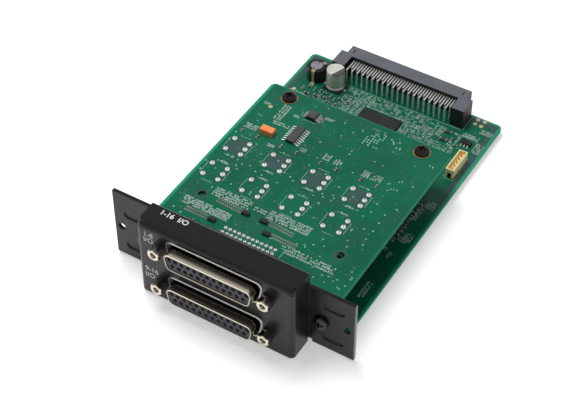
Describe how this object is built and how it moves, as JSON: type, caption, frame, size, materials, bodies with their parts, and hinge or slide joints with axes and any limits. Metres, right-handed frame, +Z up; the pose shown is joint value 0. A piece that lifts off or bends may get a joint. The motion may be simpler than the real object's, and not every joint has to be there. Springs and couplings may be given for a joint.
{
  "type": "digital audio interface card",
  "caption": "Plug-in card with a folded black face bracket, stacked D-sub sockets, two green circuit boards and a rear board connector.",
  "frame": {"origin": "midway between the two ear holes, on the ears' back face", "axes": "+X right seen from the front, +Y towards the rear connector, +Z up through the boards"},
  "size_m": [0.1056, 0.1591, 0.0376],
  "materials": {
    "bracket_black": "satin black paint",
    "screw_black": "black oxide",
    "zinc_steel": "zinc plated",
    "shell_nickel": "bright nickel plate",
    "insulator_grey": "moulded",
    "contact_tin": "tinned",
    "board_green": "green solder mask",
    "solder": "bright solder",
    "moulding_black": "moulded",
    "connector_grey": "moulded",
    "ferrite": "ground ferrite",
    "clip_tin": "tinned",
    "can_aluminium": "drawn can",
    "tantalum_orange": "moulded",
    "wafer_cream": "moulded",
    "print_white": "screen print",
    "pad_copper": "bare copper pad"
  },
  "bodies": {
    "root": {"board_spacers": "zinc_steel", "bracket_screws": "screw_black", "capacitor_base": "moulding_black", "capacitor_can": "can_aluminium", "chip_capacitors": "moulding_black", "chip_resistors": "moulding_black", "face_bracket": "bracket_black", "ferrite_blocks": "moulding_black", "inductor_clips": "clip_tin", "inductor_core": "ferrite", "inductor_ring": "moulding_black", "jackscrews": "shell_nickel", "link_header": "moulding_black", "link_socket": "moulding_black", "link_tails": "solder", "logic_chip_body": "moulding_black", "logic_chip_leads": "contact_tin", "lower_dsub_angles": "zinc_steel", "lower_dsub_contacts": "contact_tin", "lower_dsub_insulator": "insulator_grey", "lower_dsub_shell": "shell_nickel", "lug_foot_screws": "screw_black", "lug_left": "zinc_steel", "lug_right": "zinc_steel", "main_board": "board_green", "pulse_transformer_1": "moulding_black", "pulse_transformer_2": "moulding_black", "pulse_transformer_3": "moulding_black", "pulse_transformer_4": "moulding_black", "pulse_transformer_5": "moulding_black", "pulse_transformer_6": "moulding_black", "pulse_transformer_7": "moulding_black", "pulse_transformer_8": "moulding_black", "rear_connector_housing": "connector_grey", "rear_leads_long": "contact_tin", "rear_leads_short": "contact_tin", "receiver_chip_body": "moulding_black", "receiver_chip_leads": "contact_tin", "regulator_body": "moulding_black", "regulator_leads": "contact_tin", "spacer_bottom_screws": "screw_black", "spacer_top_screws": "screw_black", "surge_body": "moulding_black", "surge_terminals": "contact_tin", "tantalum_body": "tantalum_orange", "tantalum_terminals": "contact_tin", "transformer_joints": "solder", "upper_board": "board_green", "upper_dsub_angles": "zinc_steel", "upper_dsub_contacts": "contact_tin", "upper_dsub_insulator": "insulator_grey", "upper_dsub_shell": "shell_nickel", "wafer_housing": "wafer_cream", "wafer_pins": "contact_tin"}
  },
  "joints": []
}
